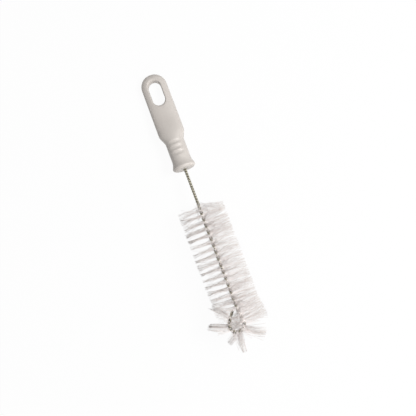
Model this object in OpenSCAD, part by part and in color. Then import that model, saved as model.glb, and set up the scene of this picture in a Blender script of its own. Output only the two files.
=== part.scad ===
// Bottle brush: a moulded handle on a twisted wire, which clamps rows of nylon bristles between its two
// strands and ends in a looped tip. It is modelled along its own axis, X, from the hanging end of the
// handle, with the flat faces of the handle up and down, and then laid down as it rests: on the hanging
// end and on the first row of bristles, with the tip raised.

/* [Handle] */
// Length of the handle, from its hanging end to the face that the wire comes out of
handle_len = 108; // [100:1:125]
// Width of the handle at its round hanging end
end_w = 27.4; // [25:0.1:28]
// Width of the handle at its shoulder
shoulder_w = 28; // [26:0.1:30]
// Thickness of the flat part of the handle
paddle_t = 12; // [10:0.5:14]
// Length of the flat part, up to its shoulder
paddle_len = 66; // [62:1:70]
// Length over which the shoulder narrows to the grip
shoulder_len = 12; // [8:1:16]
// Diameter of the round grip
grip_d = 20.4; // [18:0.1:23]
// Diameter of the flared lip below the grip
lip_d = 24.6; // [21:0.1:26]
// Length of the flare above the lip
flare_len = 8; // [5:0.5:10]
// Rounding of the lip's lower edge
lip_round = 3.4; // [2:0.1:5]
// How square the section of the flat part is: 2 is an ellipse
squareness = 2.5; // [2:0.1:3]

/* [Hanging hole] */
// Length of the hanging hole, end to end
hole_len = 27.2; // [20:0.1:30]
// Width of the hanging hole
hole_w = 13.4; // [10:0.1:16]
// Material between the hanging end and the hole
hole_wall = 8.2; // [6:0.1:12]
// Rounding of the hole's rim on both faces
rim_round = 2.6; // [1:0.1:3]

/* [Finger scoops] */
// Number of scoops across each face of the grip
scoop_count = 3; // [1:1:3]
// Distance from one scoop to the next
scoop_pitch = 5.9; // [5.5:0.1:6.5]
// Length of a scoop along the grip
scoop_len = 5.2; // [4:0.1:5.4]
// Depth of a scoop
scoop_depth = 1.6; // [0.6:0.1:2.4]

/* [Wire] */
// Diameter of the wire
wire_d = 1.6; // [1.2:0.1:2]
// Depth to which the twisted wire is set in the handle
wire_seat = 18; // [12:1:30]
// Gap round the twisted wire in the handle's bore
seat_gap = 0.1; // [0.05:0.01:0.2]
// Depth of the bevel round the bore's mouth
mouth_bevel = 1; // [0.5:0.1:2]
// Length of one full turn of the bare stem's twist
stem_pitch = 5.7; // [4.5:0.1:8]
// Length of one full turn of the twist in the head
head_pitch = 14.46; // [12:0.02:18]
// Length of tight twist outside the handle
stem_len = 35; // [25:1:60]
// Length over which the twist opens from the stem's to the head's
opening_len = 17; // [15:1:22]

/* [Bristle head] */
// Distance from the end of the tight twist to the first bristle
run_in = 4.88; // [4:0.01:9]
// Length of the straight head, from its first bristle to the looped tip
head_len = 113.5; // [80:0.1:140]
// Diameter of the head
head_d = 50; // [40:1:60]
// Diameter of one bristle
bristle_d = 0.32; // [0.2:0.01:0.33]
// Distance from one bristle to the next along the wire
bristle_pitch = 0.38; // [0.37:0.01:0.8]
// Gap between a bristle and the strand on each side of it
bristle_gap = 0.11; // [0.1:0.01:0.14]

/* [Looped tip] */
// Angle of the loop's plane about the brush's axis
loop_tilt = -8; // [-20:1:20]
// Bend radius where the wire leaves the axis
lead_r = 23.5; // [20:0.5:30]
// Angle by which the wire leaves the axis
lead_angle = 6.3; // [4:0.1:9]
// Length of the loop's straight side
side_len = 12.6; // [10:0.1:15]
// Radius of the loop's bend
bend_r = 7.8; // [7.5:0.1:9]
// Angle through which the bend turns back
bend_angle = 222; // [215:1:226]
// Length of the straight tail that ends in the fold
tail_len = 11; // [9:0.1:12]
// Length of the untwisted fold eye at the end of the tail
eye_len = 5.4; // [4:0.1:6]
// Extra opening of the fold eye on each side
eye_open = 0.15; // [0.1:0.01:0.3]
// Reach of the trimmed bristles inside the loop
inner_reach = 3; // [2:0.1:3.5]
// Distance from the end of the straight head to the plane that the tip is trimmed to
trim_len = 42.6; // [36:0.1:50]

/* [Hidden] */
// The handle's outline: round hanging end, straight taper, shoulder, grip, flare and rounded lip
end_r = end_w / 2;
edge_r = paddle_t / 2;
shoulder_end = paddle_len + shoulder_len;
lip_at = handle_len - lip_round;
thicken_at = paddle_len * 0.7;
end_flat = 0.12;
section_points = 36;

// Finger scoops are cut by cylinders that lie across the grip
scoop_r = (scoop_len * scoop_len / 4 + scoop_depth * scoop_depth) / (2 * scoop_depth);
scoop_first = shoulder_end + 0.5;

// Hanging hole: an obround whose ends are half circles
hole_r = hole_w / 2;
hole_from = hole_wall + hole_r;
hole_to = hole_wall + hole_len - hole_r;

// Twist: turns made by the wire up to a distance along it, and the distance of a given turn
strand_r = wire_d / 2;
strand_gap = 0.04;
stem_offset = strand_r + strand_gap;
head_offset = strand_r + bristle_d / 2 + bristle_gap;
bore_r = stem_offset + strand_r + seat_gap;
stem_rate = 1 / stem_pitch;
head_rate = 1 / head_pitch;
opening_at = handle_len + stem_len;
opening_end = opening_at + opening_len;
opening_turns = (stem_rate + head_rate) / 2 * opening_len;
wire_from = handle_len - wire_seat;
bore_from = wire_from - strand_r - seat_gap;
first_bristle = opening_at + run_in;
head_end = first_bristle + head_len;

// Looped tip, as lengths along the wire from the end of the head
lead_len = lead_r * lead_angle * PI / 180;
side_end = lead_len + side_len;
bend_end = side_end + bend_r * bend_angle * PI / 180;
eye_at = head_end + bend_end + tail_len - eye_len;
wire_end = eye_at + eye_len;
lead_q = lead_r * (1 - cos(lead_angle));
lead_p = lead_r * sin(lead_angle);
side_q = lead_q + side_len * sin(lead_angle);
side_p = lead_p + side_len * cos(lead_angle);
bend_q = side_q - bend_r * cos(lead_angle);
bend_p = side_p + bend_r * sin(lead_angle);
tail_angle = lead_angle - bend_angle;
tail_q = bend_q + bend_r * cos(tail_angle);
tail_p = bend_p - bend_r * sin(tail_angle);

// Bristles: a row is what half a turn of the wire holds
head_r = head_d / 2;
bristle_clearance = 0.1;
crossing_rows = 3;

rings_per_turn = 10;
wire_sides = 8;
wire_ring_r = strand_r * sqrt(2 * PI / (wire_sides * sin(360 / wire_sides)));
eye_steps = 8;
$fn = 48;

function clamp(x, low, high) = max(low, min(high, x));
function ease(from, to, x) = let (t = clamp((x - from) / (to - from), 0, 1)) t * t * (3 - 2 * t);
function unit(v) = v / norm(v);
function flatten(lists) = [for (list = lists) each list];

// ---- Handle outline ----
function round_in(r, x) = sqrt(r * r - (r - x) * (r - x));
function waist(x) =
    grip_d / 2 + (lip_d - grip_d) / 2 * pow(clamp((x - lip_at + flare_len) / flare_len, 0, 1), 2);
function lip(x) = lip_d / 2 - lip_round + round_in(lip_round, handle_len - x);
function taper(x) = (end_w + (shoulder_w - end_w) * clamp(x / paddle_len, 0, 1)) / 2;
function half_width(x) =
    x < end_r ? round_in(end_r, x) * taper(x) / end_r
    : x < shoulder_end ? taper(x) + (grip_d / 2 - taper(x)) * ease(paddle_len, shoulder_end, x)
    : x < lip_at ? waist(x) : lip(x);
function half_thickness(x) =
    x < edge_r ? round_in(edge_r, x)
    : x < shoulder_end ? edge_r + (grip_d / 2 - edge_r) * ease(thicken_at, shoulder_end, x)
    : half_width(x);
function power(x) = 2 / (squareness + (2 - squareness) * ease(thicken_at, shoulder_end, x));
function bulge(c, n) = sign(c) * pow(abs(c), n);
function handle_ring(x) =
    let (w = half_width(max(x, end_flat)), t = half_thickness(max(x, end_flat)), n = power(x))
    [for (j = [0 : section_points - 1])
        let (a = 360 * j / section_points) [x, w * bulge(cos(a), n), t * bulge(sin(a), n)]];
handle_stations = concat(
    [0], [for (a = [15 : 12.5 : 90]) end_r * (1 - cos(a))],
    [for (k = [1 : 7]) end_r + (paddle_len - end_r) * k / 7],
    [for (k = [1 : 8]) paddle_len + shoulder_len * k / 8],
    [for (k = [0 : 5]) lip_at - flare_len * (1 - k / 5)],
    [for (a = [22.5 : 22.5 : 90]) lip_at + lip_round * sin(a)]);

// ---- Centre line of the wire ----
function bend_heading(d) = lead_angle - (d - side_end) / bend_r * 180 / PI;
function heading(d) =
    d < 0 ? 0 : d < lead_len ? d / lead_r * 180 / PI : d < side_end ? lead_angle
    : d < bend_end ? bend_heading(d) : tail_angle;
function loop_point(d) = let (h = heading(d))
    d < 0 ? [0, d]
    : d < lead_len ? [lead_r * (1 - cos(h)), lead_r * sin(h)]
    : d < side_end ? [lead_q, lead_p] + (d - lead_len) * [sin(h), cos(h)]
    : d < bend_end ? [bend_q + bend_r * cos(h), bend_p - bend_r * sin(h)]
    : [tail_q, tail_p] + (d - bend_end) * [sin(h), cos(h)];
loop_side = [0, cos(loop_tilt), -sin(loop_tilt)];
loop_normal = [0, sin(loop_tilt), cos(loop_tilt)];
function in_loop(q, p) = [p, 0, 0] + q * loop_side;
function centre(x) = let (c = loop_point(x - head_end)) in_loop(c[0], head_end + c[1]);
function forward(x) = let (h = heading(x - head_end)) in_loop(sin(h), cos(h));
function sideways(x) = let (h = heading(x - head_end)) in_loop(cos(h), -sin(h));
function across(x, angle) =
    cos(angle + loop_tilt) * sideways(x) + sin(angle + loop_tilt) * loop_normal;

// ---- Twist ----
function opened(x) = clamp(x - opening_at, 0, opening_len);
function turns(x) =
    stem_rate * min(x, opening_at)
    + stem_rate * opened(x) - (stem_rate - head_rate) * opened(x) * opened(x) / (2 * opening_len)
    + head_rate * max(0, min(x, eye_at) - opening_end);
function at_turn(t) =
    let (into = t - stem_rate * opening_at, slope = (stem_rate - head_rate) / opening_len)
    into < 0 ? t / stem_rate
    : into < opening_turns
        ? opening_at + (stem_rate - sqrt(stem_rate * stem_rate - 2 * slope * into)) / slope
    : opening_end + (into - opening_turns) / head_rate;
function turned(x) = turns(x) - turns(first_bristle);
// The first two bristles straddle the lowest point, so that the head rests on a pair of tips
first_angle = 90 + 180 * turned(first_bristle + bristle_pitch);
function twist(x) = first_angle - 360 * turned(x);
function offset_at(x) =
    stem_offset + (head_offset - stem_offset) * ease(opening_at, first_bristle - bristle_d, x)
    + eye_open * ease(eye_at, eye_at + eye_len / 2, x);

// ---- Wire: one strand out, round the fold eye and back ----
function strand_point(x, side) = centre(x) + offset_at(x) * across(x, twist(x) + 90 * side);
function strand_way(x, side) = unit(strand_point(x + 0.05, side) - strand_point(x - 0.05, side));
function wire_ring(at, out, way) = let (level = unit(cross(way, out)))
    [for (j = [0 : wire_sides - 1]) let (a = 360 * (j + 0.5) / wire_sides)
        at + wire_ring_r * (cos(a) * out + sin(a) * level)];
function strand_ring(x, side) =
    wire_ring(strand_point(x, side), across(x, twist(x) + 90 * side), side * strand_way(x, side));
function eye_ring(angle) =
    let (out = across(wire_end, twist(wire_end) + 90), way = forward(wire_end),
        spoke = cos(angle) * out + sin(angle) * way)
    wire_ring(centre(wire_end) + offset_at(wire_end) * spoke, spoke, cos(angle) * way - sin(angle) * out);
wire_turns = turns(eye_at) - turns(wire_from);
wire_steps = ceil(wire_turns * rings_per_turn);
wire_stations = concat(
    [for (k = [0 : wire_steps]) at_turn(turns(wire_from) + wire_turns * k / wire_steps)],
    [for (k = [1 : 3]) eye_at + eye_len * k / 3]);
last_station = len(wire_stations) - 1;

// ---- Bristles ----
bristle_count = floor((eye_at - first_bristle) / bristle_pitch);
function bristle_at(i) = first_bristle + i * bristle_pitch;
function bristle_way(i) = across(bristle_at(i), twist(bristle_at(i)));
function row_of(x) = floor(2 * turned(x) + 0.001);
row_count = row_of(bristle_at(bristle_count - 1)) + 1;
head_rows = floor(2 * turned(head_end));
tip_rows = row_count - head_rows;
crossed = [for (i = [0 : bristle_count - 1])
    let (row = row_of(bristle_at(i))) if (row < head_rows && row >= head_rows - crossing_rows) i];
// Inside the loop a bristle is trimmed, so that it stays clear of those of the loop's other side
function inner_trim(x, way) = let (inward = -(way * sideways(x)))
    x > head_end && inward > 0 ? inner_reach / inward : head_r;
// A bristle of the loop that leans back stops short of the first bristle of the head in its way
function head_trim(x, way) = min([head_r, for (i = crossed)
    let (to = centre(bristle_at(i)) - centre(x), other = bristle_way(i), apart = cross(way, other),
        slant = norm(apart), off = abs(to * apart) / slant, room = bristle_d + bristle_clearance,
        own = cross(to, other) * apart / (slant * slant), its = cross(to, way) * apart / (slant * slant))
    if (off < room && own > 0 && abs(its) < head_r + room) own - room / slant]);
// Bristles that point out of the tip end at its trimmed plane
function end_trim(x, way) = way[0] > 0 ? (head_end + trim_len - centre(x)[0]) / way[0] : head_r;
function reach(x, way) = row_of(x) < head_rows ? head_r
    : min(head_r, inner_trim(x, way), head_trim(x, way), end_trim(x, way));
// One bristle as its two ends
function bristle_ends(i) = let (x = bristle_at(i), way = bristle_way(i))
    [centre(x) - way * reach(x, -way), centre(x) + way * reach(x, way)];
all_ends = [for (i = [0 : bristle_count - 1]) bristle_ends(i)];

// ---- Resting pose ----
rest_drop = head_r * cos(first_angle - 90);
rest_run = first_bristle - edge_r;
rest_angle = atan(rest_drop / rest_run) - asin(edge_r / norm([rest_run, rest_drop]));
function laid(v) = [v[0] * cos(rest_angle) - v[2] * sin(rest_angle), v[1],
    v[0] * sin(rest_angle) + v[2] * cos(rest_angle) + edge_r * (1 - sin(rest_angle))];
laid_ends = [for (ends = all_ends, end = ends) laid(end)];
mid_x = max([for (end = laid_ends) end[0]]) / 2;
mid_y = (max([for (end = laid_ends) end[1]]) + min([for (end = laid_ends) end[1]])) / 2;

// A closed skin over a list of rings that all have the same number of points
module skin(rings) {
    n = len(rings[0]);
    m = len(rings);
    polyhedron(points = flatten(rings), convexity = 10, faces = concat(
        [[for (j = [0 : n - 1]) j], [for (j = [n - 1 : -1 : 0]) (m - 1) * n + j]],
        flatten([for (r = [0 : m - 2], j = [0 : n - 1])
            let (a = r * n + j, b = r * n + (j + 1) % n) [[a, a + n, b + n], [a, b + n, b]]])));
}

// Lays the brush down with the origin under the middle of it
module lay() {
    translate([-mid_x, -mid_y, edge_r * (1 - sin(rest_angle))]) rotate([0, -rest_angle, 0]) children();
}

// Straight prism along the brush's thickness over the hanging hole's outline
module hole_prism() {
    for (x = [hole_from, hole_to]) translate([x, 0, -paddle_t]) cylinder(r = hole_r, h = 2 * paddle_t);
    translate([hole_from, -hole_r, -paddle_t]) cube([hole_to - hole_from, hole_w, 2 * paddle_t]);
}

// What the rim's rounding takes away outside the hole, as a section of radius against height
module rim_section() {
    difference() {
        translate([-0.5, 0]) square([rim_round + 0.5, rim_round + 1]);
        translate([rim_round, 0]) circle(r = rim_round);
    }
}

// The rim's rounding on the upper face
module rim_cut() {
    translate([0, 0, edge_r - rim_round]) {
        translate([hole_to, 0, 0]) rotate([0, 0, -90]) rotate_extrude(angle = 180)
            translate([hole_r, 0]) rim_section();
        translate([hole_from, 0, 0]) rotate([0, 0, 90]) rotate_extrude(angle = 180)
            translate([hole_r, 0]) rim_section();
        for (side = [0, 1]) mirror([0, side, 0]) translate([hole_to, hole_r, 0]) rotate([90, 0, -90])
            linear_extrude(height = hole_to - hole_from) mirror([1, 0]) rim_section();
    }
}

module scoops() {
    for (k = [0 : scoop_count - 1], face = [-1, 1])
        translate([scoop_first + k * scoop_pitch, 0, face * (grip_d / 2 - scoop_depth + scoop_r)])
            rotate([90, 0, 0]) cylinder(r = scoop_r, h = grip_d, center = true);
}

module wire_bore() {
    translate([bore_from, 0, 0]) rotate([0, 90, 0]) cylinder(r = bore_r, h = handle_len + 1 - bore_from);
    translate([handle_len - mouth_bevel, 0, 0]) rotate([0, 90, 0])
        cylinder(r1 = bore_r, r2 = bore_r + mouth_bevel, h = mouth_bevel + 0.01);
}

module handle() {
    color([0.86, 0.83, 0.8]) lay() difference() {
        skin([for (x = handle_stations) handle_ring(x)]);
        hole_prism();
        for (face = [0, 1]) mirror([0, 0, face]) rim_cut();
        scoops();
        wire_bore();
    }
}

module wire() {
    color([0.6, 0.6, 0.57]) lay() skin(concat(
        [for (k = [0 : last_station]) strand_ring(wire_stations[k], 1)],
        [for (k = [1 : eye_steps - 1]) eye_ring(180 * k / eye_steps)],
        [for (k = [last_station : -1 : 0]) strand_ring(wire_stations[k], -1)]));
}

module bristle(ends) {
    way = ends[1] - ends[0];
    translate(ends[0]) rotate([0, acos(way[2] / norm(way)), atan2(way[1], way[0])])
        cylinder(d = bristle_d, h = norm(way), $fn = 16);
}

// The bristles of one half turn of the wire, counted from the handle
module row(k) {
    color([0.93, 0.9, 0.89]) lay() for (i = [0 : bristle_count - 1])
        if (row_of(bristle_at(i)) == k - 1) bristle(all_ends[i]);
}

handle();
wire();
for (k = [1 : head_rows])
    row(k);
for (k = [1 : tip_rows])
    row(head_rows + k);
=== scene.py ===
import math

import bmesh
import bpy
import numpy as np
from mathutils import Matrix, Vector


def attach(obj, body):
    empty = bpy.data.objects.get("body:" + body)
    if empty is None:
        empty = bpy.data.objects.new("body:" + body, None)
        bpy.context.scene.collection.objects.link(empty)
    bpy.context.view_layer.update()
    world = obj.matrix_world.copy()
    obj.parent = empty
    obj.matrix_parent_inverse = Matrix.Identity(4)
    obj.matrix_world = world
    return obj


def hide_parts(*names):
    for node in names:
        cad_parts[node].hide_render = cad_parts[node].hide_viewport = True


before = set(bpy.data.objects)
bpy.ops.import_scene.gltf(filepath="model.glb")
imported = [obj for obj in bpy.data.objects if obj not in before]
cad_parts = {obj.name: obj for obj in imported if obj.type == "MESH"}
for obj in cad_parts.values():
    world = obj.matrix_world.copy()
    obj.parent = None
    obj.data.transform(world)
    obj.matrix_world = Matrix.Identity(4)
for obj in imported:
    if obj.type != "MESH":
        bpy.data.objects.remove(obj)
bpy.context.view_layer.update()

rng = np.random.default_rng(11)
MM = 0.001

# ---- Sizes, in millimetres along the brush from its hanging end: the same values as the CAD source ----
HANDLE_LEN, END_W, SHOULDER_W, PADDLE_T, PADDLE_LEN, SHOULDER_LEN = 108, 27.4, 28, 12, 66, 12
GRIP_D, LIP_D, FLARE_LEN, LIP_ROUND, SQUARENESS = 20.4, 24.6, 8, 3.4, 2.5
HOLE_LEN, HOLE_W, HOLE_WALL, RIM_ROUND = 27.2, 13.4, 8.2, 2.6
SCOOP_COUNT, SCOOP_PITCH, SCOOP_LEN = 3, 5.9, 5.2
WIRE_D, STRAND_GAP, WIRE_SEAT, SEAT_GAP, MOUTH_BEVEL = 1.6, 0.04, 18, 0.1, 1
STEM_PITCH, HEAD_PITCH, STEM_LEN, OPENING_LEN = 5.7, 14.46, 35, 17
RUN_IN, HEAD_LEN, HEAD_D, BRISTLE_D, BRISTLE_PITCH, BRISTLE_GAP = 4.88, 113.5, 50, 0.32, 0.38, 0.11
LOOP_TILT, LEAD_R, LEAD_ANGLE, SIDE_LEN, BEND_R, BEND_ANGLE = -8, 23.5, 6.3, 12.6, 7.8, 222
TAIL_LEN, EYE_LEN, EYE_OPEN, TRIM_LEN = 11, 5.4, 0.15, 42.6

END_R, EDGE_R = END_W / 2, PADDLE_T / 2
SHOULDER_END = PADDLE_LEN + SHOULDER_LEN
LIP_AT = HANDLE_LEN - LIP_ROUND
THICKEN_AT = PADDLE_LEN * 0.7
SCOOP_FIRST = SHOULDER_END + 0.5
HOLE_R = HOLE_W / 2
HOLE_FROM, HOLE_TO = HOLE_WALL + HOLE_R, HOLE_WALL + HOLE_LEN - HOLE_R
STRAND_R = WIRE_D / 2
STEM_OFFSET = STRAND_R + STRAND_GAP
HEAD_OFFSET = STRAND_R + BRISTLE_D / 2 + BRISTLE_GAP
BORE_R = STEM_OFFSET + STRAND_R + SEAT_GAP
STEM_RATE, HEAD_RATE = 1 / STEM_PITCH, 1 / HEAD_PITCH
OPENING_AT = HANDLE_LEN + STEM_LEN
WIRE_FROM = HANDLE_LEN - WIRE_SEAT
FIRST_BRISTLE = OPENING_AT + RUN_IN
HEAD_END = FIRST_BRISTLE + HEAD_LEN
HEAD_R = HEAD_D / 2
LEAD_ARC = LEAD_R * math.radians(LEAD_ANGLE)
SIDE_END = LEAD_ARC + SIDE_LEN
BEND_END = SIDE_END + BEND_R * math.radians(BEND_ANGLE)
EYE_AT = HEAD_END + BEND_END + TAIL_LEN - EYE_LEN
WIRE_END = EYE_AT + EYE_LEN


def sin(a):
    """Sine of an angle in degrees."""
    return np.sin(np.radians(a))


def cos(a):
    """Cosine of an angle in degrees."""
    return np.cos(np.radians(a))


def ease(low, high, x):
    """0 up to low and 1 from high, with a smooth rise between them."""
    t = np.clip((x - low) / (high - low), 0, 1)
    return t * t * (3 - 2 * t)


# ---- Twist ----
def turns(x):
    """Turns of the wire up to x: tight on the stem, opening, and then open in the head as far as the eye."""
    x = np.asarray(x, float)
    opened = np.clip(x - OPENING_AT, 0, OPENING_LEN)
    return (STEM_RATE * np.minimum(x, OPENING_AT) + STEM_RATE * opened
            - (STEM_RATE - HEAD_RATE) * opened ** 2 / (2 * OPENING_LEN)
            + HEAD_RATE * np.maximum(0, np.minimum(x, EYE_AT) - OPENING_AT - OPENING_LEN))


TABLE_X = np.linspace(0, EYE_AT, 40001)
TABLE_TURNS = turns(TABLE_X)
FIRST_TURN = turns(FIRST_BRISTLE)
FIRST_ANGLE = 90 + 180 * (turns(FIRST_BRISTLE + BRISTLE_PITCH) - FIRST_TURN)


def at_turn(t):
    """The place along the wire at which it has made t turns."""
    return np.interp(t, TABLE_TURNS, TABLE_X)


def twist(x):
    """The angle at which a bristle at x leaves the wire, in degrees from level."""
    return FIRST_ANGLE - 360 * (turns(x) - FIRST_TURN)


def offset_at(x):
    """How far the strands lie from the middle of the wire."""
    return (STEM_OFFSET + (HEAD_OFFSET - STEM_OFFSET) * ease(OPENING_AT, FIRST_BRISTLE - BRISTLE_D, x)
            + EYE_OPEN * ease(EYE_AT, EYE_AT + EYE_LEN / 2, x))


# ---- Resting pose: the brush lies on its hanging end and on the first row of bristles ----
REST_DROP, REST_RUN = HEAD_R * cos(FIRST_ANGLE - 90), FIRST_BRISTLE - EDGE_R
REST_ANGLE = math.degrees(math.atan(REST_DROP / REST_RUN)
                          - math.asin(EDGE_R / math.hypot(REST_RUN, REST_DROP)))


def turned(v):
    """Directions of the brush's own frame in the lying frame."""
    v = np.asarray(v, float)
    return np.stack([v[..., 0] * cos(REST_ANGLE) - v[..., 2] * sin(REST_ANGLE), v[..., 1],
                     v[..., 0] * sin(REST_ANGLE) + v[..., 2] * cos(REST_ANGLE)], -1)


def laid_mm(v):
    """Points of the brush's own frame in the lying frame, still in millimetres."""
    return turned(v) + [-MID_X, -MID_Y, EDGE_R * (1 - sin(REST_ANGLE))]


def laid(v):
    """Points of the brush's own frame, in millimetres, in the lying frame in metres."""
    return laid_mm(v) * MM


# ---- Centre line of the wire ----
def heading(d):
    """The way that the wire goes at d past the head, in degrees from the brush's length towards its side."""
    d = np.asarray(d, float)
    bend = LEAD_ANGLE - np.degrees((d - SIDE_END) / BEND_R)
    return np.select([d < 0, d < LEAD_ARC, d < SIDE_END, d < BEND_END],
                     [0 * d, np.degrees(d / LEAD_R), LEAD_ANGLE + 0 * d, bend], LEAD_ANGLE - BEND_ANGLE)


def loop_point(d):
    """Points (q, p) in the loop's plane: q to its side and p along the brush from the end of the head."""
    d = np.asarray(d, float)
    h = heading(d)
    lead = np.array([LEAD_R * (1 - cos(LEAD_ANGLE)), LEAD_R * sin(LEAD_ANGLE)])
    side = lead + SIDE_LEN * np.array([sin(LEAD_ANGLE), cos(LEAD_ANGLE)])
    bend = side + BEND_R * np.array([-cos(LEAD_ANGLE), sin(LEAD_ANGLE)])
    tail_h = LEAD_ANGLE - BEND_ANGLE
    tail = bend + BEND_R * np.array([cos(tail_h), -sin(tail_h)])
    on_part = [d < 0, d < LEAD_ARC, d < SIDE_END, d < BEND_END]
    q = np.select(on_part, [0 * d, LEAD_R * (1 - cos(h)), lead[0] + (d - LEAD_ARC) * sin(h),
                            bend[0] + BEND_R * cos(h)], tail[0] + (d - BEND_END) * sin(h))
    p = np.select(on_part, [d, LEAD_R * sin(h), lead[1] + (d - LEAD_ARC) * cos(h),
                            bend[1] - BEND_R * sin(h)], tail[1] + (d - BEND_END) * cos(h))
    return q, p


LOOP_SIDE = np.array([0, cos(LOOP_TILT), -sin(LOOP_TILT)])
LOOP_NORMAL = np.array([0, sin(LOOP_TILT), cos(LOOP_TILT)])
ALONG = np.array([1.0, 0, 0])


def centre(x):
    """The middle of the wire, at lengths x along it."""
    q, p = loop_point(np.asarray(x) - HEAD_END)
    return (HEAD_END + p)[..., None] * ALONG + q[..., None] * LOOP_SIDE


def forward(x):
    """The way that the wire goes."""
    h = heading(np.asarray(x) - HEAD_END)
    return cos(h)[..., None] * ALONG + sin(h)[..., None] * LOOP_SIDE


def sideways(x):
    """The way square to the wire in the plane of the loop."""
    h = heading(np.asarray(x) - HEAD_END)
    return -sin(h)[..., None] * ALONG + cos(h)[..., None] * LOOP_SIDE


def across(x, angle):
    """The way square to the wire that is turned round it by angle, from level."""
    a = np.asarray(angle) + LOOP_TILT
    return cos(a)[..., None] * sideways(x) + sin(a)[..., None] * LOOP_NORMAL


# ---- Where the CAD puts the middle of the brush ----
BRISTLE_COUNT = int((EYE_AT - FIRST_BRISTLE) / BRISTLE_PITCH)
BRISTLES_AT = FIRST_BRISTLE + BRISTLE_PITCH * np.arange(BRISTLE_COUNT)
HEAD_ROWS = int((turns(HEAD_END) - FIRST_TURN) * 2)
ROW_COUNT = int((turns(BRISTLES_AT[-1]) - FIRST_TURN) * 2 + 0.001) + 1


def bristle_tip(at, way):
    """Ends of bristles that go along way: at the head's radius, or at the plane that trims the tip."""
    room = (HEAD_END + TRIM_LEN - at[:, 0]) / np.maximum(way[:, 0], 0.001)
    return at + np.minimum(HEAD_R, room)[:, None] * way


ways = across(BRISTLES_AT, twist(BRISTLES_AT))
tips = turned(np.concatenate([bristle_tip(centre(BRISTLES_AT), side * ways) for side in (1, -1)]))
MID_X = tips[:, 0].max() / 2
MID_Y = (tips[:, 1].max() + tips[:, 1].min()) / 2


# ---- Camera: TILT degrees from square to the brush, towards its tip, with the picture leaned by LEAN ----
LOOK_AT, DISTANCE, TILT, LEAN = (154.9, 8.2, 0), 957, 8.1, 20.6
FOCAL_PX, FRAME_PX = 922, 416
back = turned([sin(TILT), 0, cos(TILT)])
down_axis = turned([cos(TILT), 0, -sin(TILT)])
right_axis = np.array([0, 1.0, 0])
picture_right = sin(LEAN) * down_axis + cos(LEAN) * right_axis
picture_up = -cos(LEAN) * down_axis + sin(LEAN) * right_axis
camera_data = bpy.data.cameras.new("camera")
camera = bpy.data.objects.new("camera", camera_data)
bpy.context.scene.collection.objects.link(camera)
camera_data.sensor_width = 36
camera_data.lens = FOCAL_PX / FRAME_PX * camera_data.sensor_width
place = laid(LOOK_AT) + DISTANCE * MM * back
axes = np.stack([picture_right, picture_up, back, place], axis=1)
camera.matrix_world = Matrix(axes.tolist() + [[0, 0, 0, 1]])
camera_data.clip_start, camera_data.clip_end = 0.05, 20
bpy.context.scene.camera = camera


# ---- Materials ----
def material(name, base, rough, metallic=0.0):
    """A Principled material and its nodes, links and shader."""
    made = bpy.data.materials.new(name)
    made.use_nodes = True
    shader = made.node_tree.nodes["Principled BSDF"]
    shader.inputs["Base Color"].default_value = (*base, 1)
    shader.inputs["Roughness"].default_value = rough
    shader.inputs["Metallic"].default_value = metallic
    return made, made.node_tree.nodes, made.node_tree.links, shader


def noise(nodes, links, scale, detail=3.0, rough=0.5):
    """Noise on the object's own coordinates, in metres."""
    coords = nodes.new("ShaderNodeTexCoord")
    texture = nodes.new("ShaderNodeTexNoise")
    texture.inputs["Scale"].default_value = scale
    texture.inputs["Detail"].default_value = detail
    texture.inputs["Roughness"].default_value = rough
    links.new(coords.outputs["Object"], texture.inputs["Vector"])
    return texture.outputs["Fac"]


def ramp(nodes, links, fac, stops):
    """Colour ramp from (position, colour) stops."""
    node = nodes.new("ShaderNodeValToRGB")
    elements = node.color_ramp.elements
    while len(elements) < len(stops):
        elements.new(0.5)
    for element, (position, colour) in zip(elements, stops):
        element.position, element.color = position, (*colour, 1)
    links.new(fac, node.inputs["Fac"])
    return node.outputs["Color"]


def spread(nodes, links, fac, low, high):
    """A factor from 0 to 1 as a value from low to high."""
    node = nodes.new("ShaderNodeMapRange")
    node.inputs["To Min"].default_value, node.inputs["To Max"].default_value = low, high
    links.new(fac, node.inputs["Value"])
    return node.outputs["Result"]


def bump(nodes, links, shader, height, strength, distance):
    """Fine relief on a shader, with its distance in metres."""
    node = nodes.new("ShaderNodeBump")
    node.inputs["Strength"].default_value, node.inputs["Distance"].default_value = strength, distance
    links.new(height, node.inputs["Height"])
    links.new(node.outputs["Normal"], shader.inputs["Normal"])


def times(nodes, links, first, second):
    """The product of two colours."""
    mix = nodes.new("ShaderNodeMix")
    mix.data_type, mix.blend_type = "RGBA", "MULTIPLY"
    mix.inputs["Factor"].default_value = 1
    links.new(first, mix.inputs[6])
    links.new(second, mix.inputs[7])
    return mix.outputs[2]


def marked(nodes, name):
    """A number that the mesh carries at its points."""
    mark = nodes.new("ShaderNodeAttribute")
    mark.attribute_name = name
    return mark.outputs["Fac"]


def mark_points(made, name, values):
    """Gives the mesh a number at each of its points, for marked() to read."""
    made.data.attributes.new(name, "FLOAT", "POINT").data.foreach_set("value", values)


def handle_material():
    """Slightly cloudy moulded plastic."""
    made, nodes, links, shader = material("moulded_plastic", (0.63, 0.585, 0.545), 0.42)
    cloudy = noise(nodes, links, 45, 4, 0.55)
    links.new(ramp(nodes, links, cloudy, [(0.3, (0.615, 0.57, 0.53)), (0.7, (0.645, 0.6, 0.56))]),
              shader.inputs["Base Color"])
    links.new(spread(nodes, links, noise(nodes, links, 260, 3), 0.36, 0.5), shader.inputs["Roughness"])
    bump(nodes, links, shader, noise(nodes, links, 1400, 4), 0.18, 0.0002)
    shader.inputs["IOR"].default_value = 1.49
    return made


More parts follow.
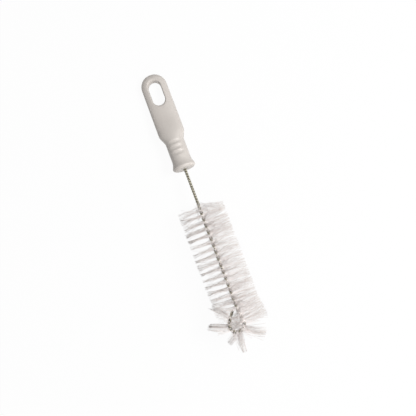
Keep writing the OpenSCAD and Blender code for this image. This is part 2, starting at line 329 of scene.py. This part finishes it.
def wire_material():
    """Dull steel, darkened in the grooves between the strands by grime and painted shade, and lighter on
    their crests as a painted highlight.
    """
    made, nodes, links, shader = material("galvanised_wire", (0.28, 0.262, 0.212), 0.4, 0.75)
    spots = noise(nodes, links, 1100, 4, 0.6)
    bright = ramp(nodes, links, spots, [(0.32, (0.25, 0.232, 0.18)), (0.62, (0.33, 0.31, 0.247))])
    # Grime and painted shade darken the strands where they face each other, and a painted highlight lightens
    # their outer crests
    groove_grime_shade_and_crest_highlight = ramp(nodes, links, marked(nodes, "from_middle"),
                  [(0.35, (0.25, 0.25, 0.25)), (0.9, (1.15, 1.15, 1.15))])
    links.new(times(nodes, links, bright, groove_grime_shade_and_crest_highlight), shader.inputs["Base Color"])
    links.new(spread(nodes, links, noise(nodes, links, 900, 3), 0.22, 0.34), shader.inputs["Roughness"])
    bump(nodes, links, shader, noise(nodes, links, 2600, 3), 0.2, 0.00008)
    return made


def nylon_material():
    """Nylon with painted light: whiter near the wire, against the shade deep in the head, and darker towards
    the bristles' ends, where more light falls.
    """
    made, nodes, links, shader = material("nylon", (0.9, 0.865, 0.85), 0.34)
    # Painted light: whiter near the wire to offset the shade among the dense fibres, and darker at their ends
    painted_depth_light = ramp(nodes, links, marked(nodes, "from_wire"),
                [(0.1, (0.98, 0.925, 0.905)), (0.95, (0.76, 0.71, 0.68))])
    tint = noise(nodes, links, 160, 3, 0.5)
    mottle = ramp(nodes, links, tint, [(0.32, (0.95, 0.945, 0.94)), (0.68, (1, 1, 1))])
    links.new(times(nodes, links, painted_depth_light, mottle), shader.inputs["Base Color"])
    links.new(spread(nodes, links, noise(nodes, links, 700, 2), 0.28, 0.42), shader.inputs["Roughness"])
    shader.inputs["IOR"].default_value = 1.53
    return made


# ---- Mesh helpers ----
def piece(name, points, faces, look, slot, *nodes):
    """A smooth mesh from points in the lying frame, which rides with the brush and stands for CAD nodes."""
    mesh = bpy.data.meshes.new(name)
    mesh.from_pydata(points.tolist(), [], faces)
    mesh.validate()
    mesh.shade_smooth()
    made = bpy.data.objects.new(name, mesh)
    bpy.context.scene.collection.objects.link(made)
    mesh.materials.append(look)
    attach(made, "root")
    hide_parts(*nodes)
    return made


def tube_faces(rings, sides):
    """The walls of a tube, ring by ring, and then its two ends."""
    faces = []
    for r in range(rings - 1):
        for j in range(sides):
            a, b = r * sides + j, r * sides + (j + 1) % sides
            faces.append((a, b, b + sides, a + sides))
    faces.append(tuple(range(sides - 1, -1, -1)))
    faces.append(tuple((rings - 1) * sides + j for j in range(sides)))
    return faces


# ---- Handle ----
# The scoops are shallower than the CAD's and run out at the grip's sides. The cutters of the bore and of the
# hole flare out past the surface that they cut. A skin of voxels is smoothed, which softens the edges
WORN_DEPTH, SCOOP_HALF, PAST, PLUG_FLARE = 0.75, 8.2, 0.5, [(0.05, 0.3), (3, 5)]
SKIN_VOXEL, SOFTEN_SHARE, SOFTEN_TIMES = 0.34, 0.5, 14


def round_in(r, x):
    """Half the width of a circle of radius r at x from its edge."""
    return np.sqrt(np.maximum(r * r - (r - x) ** 2, 0))


def half_width(x):
    """Half the handle's width: its round end, taper, shoulder, grip and flare with a rounded lip."""
    taper = (END_W + (SHOULDER_W - END_W) * np.clip(x / PADDLE_LEN, 0, 1)) / 2
    waist = GRIP_D / 2 + (LIP_D - GRIP_D) / 2 * np.clip((x - LIP_AT + FLARE_LEN) / FLARE_LEN, 0, 1) ** 2
    lip = LIP_D / 2 - LIP_ROUND + round_in(LIP_ROUND, HANDLE_LEN - x)
    shoulder = taper + (GRIP_D / 2 - taper) * ease(PADDLE_LEN, SHOULDER_END, x)
    return np.select([x < END_R, x < SHOULDER_END, x < LIP_AT],
                     [round_in(END_R, x) * taper / END_R, shoulder, waist], lip)


def half_thickness(x):
    """Half the handle's thickness, which grows from the flat end to the round grip."""
    flat = EDGE_R + (GRIP_D / 2 - EDGE_R) * ease(THICKEN_AT, SHOULDER_END, x)
    return np.select([x < EDGE_R, x < SHOULDER_END], [round_in(EDGE_R, x), flat], half_width(x))


def loft_mesh(name, rings):
    """A closed mesh in millimetres from rings with the same number of points."""
    rings = np.asarray(rings)
    mesh = bpy.data.meshes.new(name)
    mesh.from_pydata(rings.reshape(-1, 3).tolist(), [], tube_faces(rings.shape[0], rings.shape[1]))
    made = bpy.data.objects.new(name, mesh)
    bpy.context.scene.collection.objects.link(made)
    bm = bmesh.new()
    bm.from_mesh(mesh)
    bmesh.ops.recalc_face_normals(bm, faces=bm.faces)
    bm.to_mesh(mesh)
    bm.free()
    return made


def handle_rings(count=112):
    """Outlines across the handle, which go from a squared oval at its end to a circle at the grip."""
    near_end, near_mouth = np.arange(3, 90, 5), np.arange(4, 90, 5)
    stations = np.concatenate([EDGE_R * (1 - cos(near_end)), np.linspace(EDGE_R, END_R, 16),
                               np.linspace(END_R, LIP_AT, 190)[1:], LIP_AT + LIP_ROUND * sin(near_mouth),
                               [HANDLE_LEN - 0.001]])
    a = np.arange(count) * 360 / count
    rings = []
    for x in stations:
        n = 2 / (SQUARENESS + (2 - SQUARENESS) * ease(THICKEN_AT, SHOULDER_END, x))
        y = half_width(x) * np.sign(cos(a)) * np.abs(cos(a)) ** n
        z = half_thickness(x) * np.sign(sin(a)) * np.abs(sin(a)) ** n
        rings.append(np.stack([np.full(count, x), y, z], -1))
    return rings


def hole_rings(count=48):
    """The hanging hole as a plug that widens to the rounded rim on both faces, and flares out above them."""
    heights, grow = [], []
    for t in np.arange(0, 86, 6):
        heights.append(EDGE_R - RIM_ROUND + RIM_ROUND * sin(t))
        grow.append(RIM_ROUND * (1 - cos(t)))
    heights += [EDGE_R + up for up, _ in PLUG_FLARE]
    grow += [RIM_ROUND + out for _, out in PLUG_FLARE]
    levels = [(-h, g) for h, g in zip(heights[::-1], grow[::-1])] + list(zip(heights, grow))
    a = np.linspace(-90, 90, count)
    rings = []
    for z, g in levels:
        far = np.stack([HOLE_TO + (HOLE_R + g) * cos(a), (HOLE_R + g) * sin(a), np.full(count, z)], -1)
        near = np.stack([HOLE_FROM - (HOLE_R + g) * cos(a), -(HOLE_R + g) * sin(a), np.full(count, z)], -1)
        rings.append(np.concatenate([far, near]))
    return rings


def scoop_rings(k, face, count=64, steps=17):
    """Circles of a scoop's cutter, which follows the round of the grip and runs out at its sides."""
    a = np.arange(count) * 360 / count
    radius = (SCOOP_LEN ** 2 / 4 + WORN_DEPTH ** 2) / (2 * WORN_DEPTH)
    x = SCOOP_FIRST + k * SCOOP_PITCH + radius * cos(a)
    rings = []
    for y in np.linspace(-SCOOP_HALF, SCOOP_HALF, steps):
        deep = WORN_DEPTH * (1 - (y / SCOOP_HALF) ** 2)
        z = face * (math.sqrt(GRIP_D ** 2 / 4 - y * y) - deep + radius) + radius * sin(a)
        rings.append(np.stack([x, np.full(count, y), z], -1))
    return rings


def bore_rings(count=40):
    """The bore that the wire sits in, with its bevelled mouth."""
    a = np.arange(count) * 360 / count
    levels = [(WIRE_FROM - STRAND_R - SEAT_GAP, BORE_R), (HANDLE_LEN - MOUTH_BEVEL, BORE_R),
              (HANDLE_LEN + PAST, BORE_R + MOUTH_BEVEL + PAST)]
    return [np.stack([np.full(count, x), r * cos(a), r * sin(a)], -1) for x, r in levels]


def make_handle(look):
    """The handle with its hole, bore and scoops cut, and its edges softened."""
    body = loft_mesh("handle_body", handle_rings())
    cutters = [loft_mesh("cut_hole", hole_rings()), loft_mesh("cut_bore", bore_rings())]
    cutters += [loft_mesh("cut_scoop", scoop_rings(k, face)) for k in range(SCOOP_COUNT) for face in (-1, 1)]
    for cutter in cutters:
        cut = body.modifiers.new("cut", "BOOLEAN")
        cut.operation, cut.solver, cut.object = "DIFFERENCE", "MANIFOLD", cutter
    skin = body.modifiers.new("skin", "REMESH")
    skin.mode, skin.voxel_size = "VOXEL", SKIN_VOXEL
    soften = body.modifiers.new("soften", "SMOOTH")
    soften.factor, soften.iterations = SOFTEN_SHARE, SOFTEN_TIMES
    shape = body.evaluated_get(bpy.context.evaluated_depsgraph_get()).to_mesh()
    points = np.empty(len(shape.vertices) * 3)
    shape.vertices.foreach_get("co", points)
    faces = [tuple(p.vertices) for p in shape.polygons]
    points = points.reshape(-1, 3)
    for made in cutters + [body]:
        bpy.data.objects.remove(made)
    return piece("moulded_handle", laid(points), faces, look, "handle", "handle")


# ---- Wire ----
WIRE_SIDES, RINGS_PER_TURN, EYE_STEPS, FOLD_STEPS, NEAR = 16, 30, 9, 14, 0.02


def ring_points(at, out, way):
    """Rings of a strand round the points at, square to way, that begin beside out."""
    level = np.cross(way, out)
    level /= np.linalg.norm(level, axis=-1, keepdims=True)
    a = (np.arange(WIRE_SIDES) + 0.5) * 360 / WIRE_SIDES
    return at[:, None] + STRAND_R * (cos(a)[:, None] * out[:, None] + sin(a)[:, None] * level[:, None])


def make_wire(look):
    """One strand: out along the twist, round the fold of the eye and back."""
    count = int((turns(EYE_AT) - turns(WIRE_FROM)) * RINGS_PER_TURN)
    x = np.concatenate([at_turn(np.linspace(turns(WIRE_FROM), turns(EYE_AT), count)),
                        np.linspace(EYE_AT, WIRE_END, EYE_STEPS)[1:]])

    def strand(x, side):
        return centre(x) + offset_at(x)[:, None] * across(x, twist(x) + 90 * side)

    def strand_rings(side):
        way = strand(x + NEAR, side) - strand(x - NEAR, side)
        way /= np.linalg.norm(way, axis=-1, keepdims=True)
        return ring_points(strand(x, side), across(x, twist(x) + 90 * side), side * way)

    end = np.array([WIRE_END])
    out, way, at = across(end, twist(end) + 90)[0], forward(end)[0], centre(end)[0]
    fold = []
    for angle in np.linspace(0, 180, FOLD_STEPS)[1:-1]:
        spoke = cos(angle) * out + sin(angle) * way
        fold.append(ring_points((at + offset_at(end)[0] * spoke)[None], spoke[None],
                                (cos(angle) * way - sin(angle) * out)[None])[0])
    rings = np.concatenate([strand_rings(1), fold, strand_rings(-1)[::-1]])
    points = laid(rings.reshape(-1, 3))
    made = piece("twisted_wire", points, tube_faces(len(rings), WIRE_SIDES), look, "wire", "wire")
    # from_middle sets where the wire's grime and painted shade in the grooves and its painted highlight on
    # the crests fall
    middle = np.concatenate([centre(x), np.repeat(at[None], len(fold), 0), centre(x)[::-1]])
    depth = np.linalg.norm(rings - middle[:, None], axis=-1) / (STEM_OFFSET + STRAND_R)
    mark_points(made, "from_middle", depth.ravel())


# ---- Bristles ----
# Left is the side of -y, and the head is ruffled on its right. Fibres lean along the wire and sway round it
# by shares of their free length. Lengths are in millimetres and angles in degrees.
FIBRE_R, FIBRE_SIDES, FIBRE_GAP, FIBRE_BESIDE, ANGLE_NOISE = 0.12, 5, 0.17, 0.01, 1.5
STEPS = np.array([0.0, 0.07, 0.12, 0.19, 0.32, 0.52, 0.76, 1.0])
LOOP_FROM, STRAIGHT_TO = HEAD_END + 2, HEAD_END + 17

# How many fibres stand where: more of them upright in the head and fewer in the loop, more at the head's end
# and fewer at its start
UPRIGHT, UPRIGHT_WITHIN, THINNED, THINNED_WITHIN = 0.6, 12, 0.1, 25
CROWD, CROWD_FROM, CROWD_TO, START_SHARE, START_LEN = 0.4, HEAD_END - 20, HEAD_END - 8, 0.35, 14

# Fibres that lie over the upper strand of the wire: most of those in the first OVER_TO degrees of a half turn
# that is counted from level, and all at the start of the loop. Past UNDER_FROM only those more than UNDER_TO
# degrees off upright lie over it, and the rest lie under the lower strand
OVER_TO, OVER_SHARE, COVERED_TO, UNDER_FROM, UNDER_TO = 110, 0.95, HEAD_END + 21, HEAD_END + 33, 66

# A fibre is straight where it is CLAMPED. It spreads over one length, leaves the strand that it crosses over
# another, leans less at its foot than at its end, and bows and curls by chance
CLAMPED, SPREAD_OVER, LIFT_OVER, LEAN_FOOT, LEAN_GAIN, BOW, CURL = 1.4, 1.5, 2.2, 0.3, 0.7, 0.3, 0.5

# Bundles that fibres gather into, each with a lean and a sway of its own, and what each fibre adds to them
BUNDLE_SIZE, GATHER, CLING_SWAY = 7, 0.15, 0.35
BUNDLE_LEAN, RUFFLED_LEAN, BUNDLE_SWAY, LEAN_NOISE, SWAY_NOISE = 0.02, 0.09, 0.05, 0.014, 0.015

# The first fibres lean towards the tip
FIRST_LEAN, FIRST_RUFFLED, FIRST_LEN = 0.17, 0.25, 6

# Slanting fibres lie flatter, those near upright stand up, and upright ones lean to the right
FLATTER, RUFFLED_FLATTER, LOOP_FLATTER = 0.08, 0.2, 0.4
STAND_UP, STAND_WITHIN, STAND_NONE, RIGHTWARD = 0.75, 20, 45, 0.2

# Loose fibres: at the head's end and the start of the loop, on the left, where they lean back a little and
# are looser at the head's start, on the right, and strays anywhere
LOOSE, END_LOOSER, LOOP_LOOSER, LOOSE_TO = 0.16, 1.5, 2.2, HEAD_END + 16
LEFT_LOOSE, LEFT_BACK, START_LOOSE, START_TO = 0.05, -0.2, 0.11, FIRST_BRISTLE + 30
RIGHT_LOOSE, RIGHT_SHARE, STRAYS, STRAY_LEAN = 0.2, 0.35, 0.05, 0.2

# Lengths: the head reaches OFF_CENTRE more to the right and less to the left, and the fibres inside the loop
# are short
OFF_CENTRE, LENGTH_NOISE = 0.8, 0.8
INNER_REACH, INNER_LEAST, INNER_SHARES, INNER_MORE = 8, 0.7, (0.15, 0.9), 4

# How far the fibres of a row spread along the wire, and how far those on the left move towards the tip
SPREAD, RUFFLED_SPREAD, END_SPREAD, LEFT_SHIFT = 0.9, 1.3, 0.9, 0.8

# Tufts of the looped tip, counted from the head's last tooth: the way that each points, in degrees from the
# brush's side towards its end, how far its foot has slid along the wire, how much it narrows, how far it fans
# out, and its shares of the usual length and of the usual number of fibres
TUFTS = {2: (-2, 1.3, 0, 0, 1, 1), 3: (23, 2, 0.5, 0, 0.92, 1), 4: (94, 2.2, 0.5, 0, 0.88, 1),
         5: (153, -5.5, 1, 0, 0.6, 0.5), 6: (202, -3.8, 0.8, 0, 0.94, 1.05),
         7: (214, 1.5, 0.5, 0.3, 1.06, 1.4)}
TUFT_HOLD, FAN_LOSS, FAN_LEAST = 0.8, 0.7, 0.3
LAST_TOOTH = np.round(-twist(HEAD_END) / 180)


def bundles(count, mean_size):
    """Numbers the fibres of a row by the bundle that they cling to."""
    return np.cumsum(rng.random(count) < 1 / mean_size)


def cling(values, bundle):
    """The mean of each fibre's bundle."""
    index = bundle - bundle.min()
    total, size = np.bincount(index, values), np.bincount(index)
    return (total / np.maximum(size, 1))[index]


def off_upright(angle):
    """Degrees by which a bristle is turned from straight up and down."""
    return angle % 180 - 90


def tooth_number(angle):
    """Numbers the half turns of bristles from the head's last tooth."""
    return np.round(-angle / 180) - LAST_TOOTH


def towards_end(x):
    """0 in most of the head, rising to 1 just before its end."""
    return ease(HEAD_END - 14, HEAD_END - 4, x)


def fibre_places(low, high):
    """Places along the wire of a row's fibres, between low and high."""
    x = np.sort(low + rng.random(int((high - low) / FIBRE_GAP * (1 + UPRIGHT))) * (high - low))
    doubled = rng.random(len(x)) < CROWD * ease(CROWD_FROM, CROWD_TO, x)
    x = np.sort(np.concatenate([x, x[doubled] + FIBRE_BESIDE]))
    upright = off_upright(twist(x))
    kept = np.where(x < LOOP_FROM, 1 + UPRIGHT * np.exp(-(upright / UPRIGHT_WITHIN) ** 2),
                    1 - THINNED * np.exp(-(upright / THINNED_WITHIN) ** 2))
    kept *= np.clip(START_SHARE + (x - FIRST_BRISTLE) / START_LEN, 0, 1)
    tooth = tooth_number(twist(x))
    for number, (*_, share) in TUFTS.items():
        kept *= np.where(tooth == number, share, 1)
    return x[rng.random(len(x)) * (1 + UPRIGHT) < kept]


def strand_lift(x, angle, round_):
    """How far along round_ fibres lie at the wire, to pass over or under a strand and not between the two."""
    crossing = (-angle % 180 < OVER_TO) & (rng.random(len(x)) < OVER_SHARE)
    covered = (x > LOOP_FROM) & (x < COVERED_TO)
    raised = np.where(np.abs(off_upright(angle)) > UNDER_TO, 1, -1)
    raised = np.where(x > UNDER_FROM, raised, crossing | covered)
    return raised * np.sign(round_[:, 2]) * (HEAD_OFFSET + STRAND_R + FIBRE_R)


def tuft_bends(x, angle):
    """The tufts' leans, the slides of their feet and their shares of length, for every fibre of a row."""
    count = len(x)
    tooth = tooth_number(angle)
    aim, slid, reach = np.zeros(count), np.zeros(count), np.ones(count)
    for number, (toward, slide, narrow, fan, share, _) in TUFTS.items():
        held = tooth == number
        middle = at_turn(FIRST_TURN + (FIRST_ANGLE + 180 * (number + LAST_TOOTH)) / 360)
        fanned = fan * np.abs(rng.normal(0, 1, count))[held]
        aim[held] = (TUFT_HOLD * np.radians(toward + heading(x[held] - HEAD_END))
                     - narrow * (x[held] - middle) / HEAD_R + fanned)
        slid[held], reach[held] = slide, share * np.clip(1 - FAN_LOSS * fanned, FAN_LEAST, 1)
    return aim, slid, reach


def lean_and_sway(side, x, angle, to_right, ruffled, outward, aim):
    """How far one half of each fibre leans along the wire, and how far it sways round it."""
    count, in_loop = len(x), x > LOOP_FROM
    bundle = bundles(count, BUNDLE_SIZE)
    gather = GATHER * (cling(x, bundle) - x) / HEAD_R
    first = np.clip(1 - (x - FIRST_BRISTLE) / (FIRST_LEN + FIRST_LEN * ruffled), 0, 1)
    lean = (FIRST_LEAN + FIRST_RUFFLED * ruffled) * first + gather + rng.normal(0, LEAN_NOISE, count)
    lean += cling(rng.normal(0, 1, count), bundle) * (BUNDLE_LEAN + RUFFLED_LEAN * ruffled)
    sway = CLING_SWAY * np.radians(cling(angle, bundle) - angle) + rng.normal(0, SWAY_NOISE, count)
    sway += (cling(rng.normal(0, 1, count), bundle) * BUNDLE_SWAY
             - (FLATTER + RUFFLED_FLATTER * ruffled) * sin(2 * angle))
    upright = off_upright(angle)
    sway -= STAND_UP * np.radians(upright) * (1 - ease(STAND_WITHIN, STAND_NONE, np.abs(upright)))
    sway -= RIGHTWARD * (side * sin(angle)) ** 3
    sway -= LOOP_FLATTER * np.clip(outward, 0, 1) * sin(2 * angle) * in_loop
    lean += aim * np.clip(outward, 0, 1) ** 0.5
    loose = LOOSE * towards_end(x) * np.select([x < LOOP_FROM, x < LOOSE_TO], [END_LOOSER, LOOP_LOOSER], 0)
    left = np.maximum(loose, LEFT_LOOSE * ~in_loop + START_LOOSE * (1 - ease(FIRST_BRISTLE, START_TO, x)))
    left *= rng.normal(LEFT_BACK, 1, count)
    right = np.maximum(loose, RIGHT_LOOSE * (x < STRAIGHT_TO)) * rng.normal(0, RIGHT_SHARE, count)
    lean += np.where(to_right < 0, left, right)
    stray = rng.random(count) < STRAYS
    return np.where(stray, rng.normal(0, STRAY_LEAN, count), lean), sway


def half_length(x, to_right, outward, reach):
    """Lengths of one half of each fibre, from the middle of the wire."""
    count = len(x)
    length = (HEAD_R * np.where(outward > 0, reach, 1) + OFF_CENTRE * to_right
              - rng.uniform(0, LENGTH_NOISE, count))
    inner = INNER_REACH / np.maximum(-outward, INNER_LEAST) * rng.uniform(*INNER_SHARES, count)
    inner += INNER_MORE * ((x < STRAIGHT_TO) | (x > UNDER_FROM))
    return np.where((x > LOOP_FROM) & (outward < 0), np.minimum(length, inner), length)


def half_spread(x, to_right, ruffled, outward, slid):
    """How far along the wire one half of each fibre moves as it comes out of it."""
    wide = SPREAD + RUFFLED_SPREAD * ruffled * (1 + END_SPREAD * towards_end(x))
    spread_out = rng.uniform(-1, 1, len(x)) * wide + LEFT_SHIFT * np.clip(-to_right, 0, 1)
    return spread_out + slid * (outward > 0)


def fibre_half(at, way, along, round_, *bends):
    """Points of one half of each fibre: out of the wire, then leaning and bowing along and round it."""
    length, lift, spread_out, lean, sway, bow, curl = (bend[:, None] for bend in bends)
    s = length * STEPS
    free = np.maximum(s - CLAMPED, 0)
    part = free / HEAD_R
    side_a = (spread_out * (1 - np.exp(-free / SPREAD_OVER)) + lean * free * (LEAN_FOOT + LEAN_GAIN * part)
              + bow * part ** 2)
    side_b = lift * np.exp(-(s / LIFT_OVER) ** 2) + sway * free + curl * part ** 2
    drop = (side_a ** 2 + (sway * free) ** 2) / (2 * np.maximum(s, 1))
    return (at[:, None] + (s - drop)[..., None] * way[:, None] + side_a[..., None] * along[:, None]
            + side_b[..., None] * round_[:, None])


def fibre_mesh(lines, axes_a, axes_b):
    """Thin tubes round the lines (fibre, step, 3)."""
    a = np.arange(FIBRE_SIDES) * 360 / FIBRE_SIDES
    ring = FIBRE_R * (cos(a)[:, None] * axes_a[:, None, None] + sin(a)[:, None] * axes_b[:, None, None])
    points = lines[:, :, None] + ring
    count, steps = lines.shape[:2]
    *walls, start, end = tube_faces(steps, FIBRE_SIDES)
    first = np.arange(count)[:, None, None] * steps * FIBRE_SIDES
    faces = (np.array(walls) + first).reshape(-1, 4).tolist()
    faces += (np.array([start, end]) + first).reshape(-1, FIBRE_SIDES).tolist()
    return points.reshape(-1, 3), faces


def make_row(row, look):
    """The fibres of half a turn of the wire, which stand for one of the CAD's rows."""
    node = f"tip_row_{row - HEAD_ROWS}" if row > HEAD_ROWS else f"bristle_row_{row}"
    low = float(at_turn(FIRST_TURN + (row - 1) / 2))
    high = float(at_turn(FIRST_TURN + row / 2)) if row < ROW_COUNT else EYE_AT
    x = fibre_places(low, high)
    count = len(x)
    angle = twist(x) + rng.normal(0, ANGLE_NOISE, count)
    way, along, at = across(x, angle), forward(x), centre(x)
    round_ = np.cross(along, way)
    lift = strand_lift(x, angle, round_)
    aim, slid, reach = tuft_bends(x, angle)
    halves = []
    for side in (1, -1):
        to_right, outward = side * way[:, 1], side * cos(angle)
        ruffled = np.clip(0.5 + to_right, 0, 1)
        lean, sway = lean_and_sway(side, x, angle, to_right, ruffled, outward, aim)
        length = half_length(x, to_right, outward, reach)
        spread_out = half_spread(x, to_right, ruffled, outward, slid)
        halves.append(fibre_half(at, side * way, along, side * round_, length, side * lift, spread_out,
                                 lean, sway, rng.normal(0, BOW, count), rng.normal(0, CURL, count)))
    lines = laid_mm(np.concatenate([halves[1][:, :0:-1], halves[0]], axis=1))
    lines[..., 2] = np.maximum(lines[..., 2], FIBRE_R)
    points, faces = fibre_mesh(lines, turned(along), turned(round_))
    made = piece("fibres_" + node, points * MM, faces, look, "bristles", node)
    # from_wire places the nylon's painted light: whiter near the wire, against the shade deep in the head,
    # and darker at the ends
    from_wire = np.concatenate([STEPS[:0:-1], STEPS])
    mark_points(made, "from_wire", np.tile(np.repeat(from_wire, FIBRE_SIDES), count))


handle_look, wire_look, nylon_look = handle_material(), wire_material(), nylon_material()
make_handle(handle_look)
make_wire(wire_look)
for row in range(1, ROW_COUNT + 1):
    make_row(row, nylon_look)


# ---- Floor, lights and background ----
FLOOR_HALF, FLOOR_GLOW, SKY_STRENGTH = 4.0, 0.95, 0.25


def light_path_white(nodes, links):
    """1 for rays from the camera, from gloss and through glass, and 0 for the rest."""
    path = nodes.new("ShaderNodeLightPath")
    total = path.outputs["Is Camera Ray"]
    for name in ("Is Glossy Ray", "Is Transmission Ray"):
        add = nodes.new("ShaderNodeMath")
        add.operation, add.use_clamp = "ADD", True
        links.new(total, add.inputs[0])
        links.new(path.outputs[name], add.inputs[1])
        total = add.outputs[0]
    return total


def make_floor():
    """A floor that is nearly white to the camera, with a faint shadow of the brush."""
    mesh = bpy.data.meshes.new("floor")
    corners = [(FLOOR_HALF * a, FLOOR_HALF * b, 0) for a, b in ((-1, -1), (1, -1), (1, 1), (-1, 1))]
    mesh.from_pydata(corners, [], [(0, 1, 2, 3)])
    floor = bpy.data.objects.new("floor", mesh)
    bpy.context.scene.collection.objects.link(floor)
    made, nodes, links, shader = material("floor", (0.85, 0.85, 0.85), 0.9)
    output = nodes["Material Output"]
    glow = nodes.new("ShaderNodeEmission")
    glow.inputs["Color"].default_value = (1, 1, 1, 1)
    share = nodes.new("ShaderNodeMath")
    share.operation = "MULTIPLY"
    share.inputs[1].default_value = FLOOR_GLOW
    links.new(light_path_white(nodes, links), share.inputs[0])
    mix = nodes.new("ShaderNodeMixShader")
    links.new(share.outputs[0], mix.inputs["Fac"])
    links.new(shader.outputs[0], mix.inputs[1])
    links.new(glow.outputs[0], mix.inputs[2])
    links.new(mix.outputs[0], output.inputs["Surface"])
    mesh.materials.append(made)


def make_lamp(name, toward, distance, size, power):
    """An area lamp that shines on the middle of the brush from a direction of the lying frame."""
    data = bpy.data.lights.new(name, "AREA")
    data.shape, data.size, data.energy = "DISK", size, power
    lamp = bpy.data.objects.new(name, data)
    bpy.context.scene.collection.objects.link(lamp)
    way = Vector(toward).normalized()
    lamp.location = way * distance
    lamp.rotation_mode = "QUATERNION"
    lamp.rotation_quaternion = way.to_track_quat("Z", "Y")


def make_world(strength):
    """A background that is white to the camera and lights the scene with the given strength."""
    world = bpy.data.worlds.new("world")
    bpy.context.scene.world = world
    world.use_nodes = True
    nodes, links = world.node_tree.nodes, world.node_tree.links
    ground = nodes["Background"]
    ground.inputs["Color"].default_value = (1, 1, 1, 1)
    ground.inputs["Strength"].default_value = strength
    white = nodes.new("ShaderNodeBackground")
    white.inputs["Color"].default_value = (1, 1, 1, 1)
    mix = nodes.new("ShaderNodeMixShader")
    links.new(light_path_white(nodes, links), mix.inputs["Fac"])
    links.new(ground.outputs[0], mix.inputs[1])
    links.new(white.outputs[0], mix.inputs[2])
    links.new(mix.outputs[0], nodes["World Output"].inputs["Surface"])


make_floor()
make_world(SKY_STRENGTH)
make_lamp("key", (0.05, 0.5, 0.86), 1.2, 0.5, 10.5)
make_lamp("fill", (0.85, 0.2, 0.5), 1.2, 1.0, 5)

bpy.context.scene.view_settings.view_transform = "Standard"
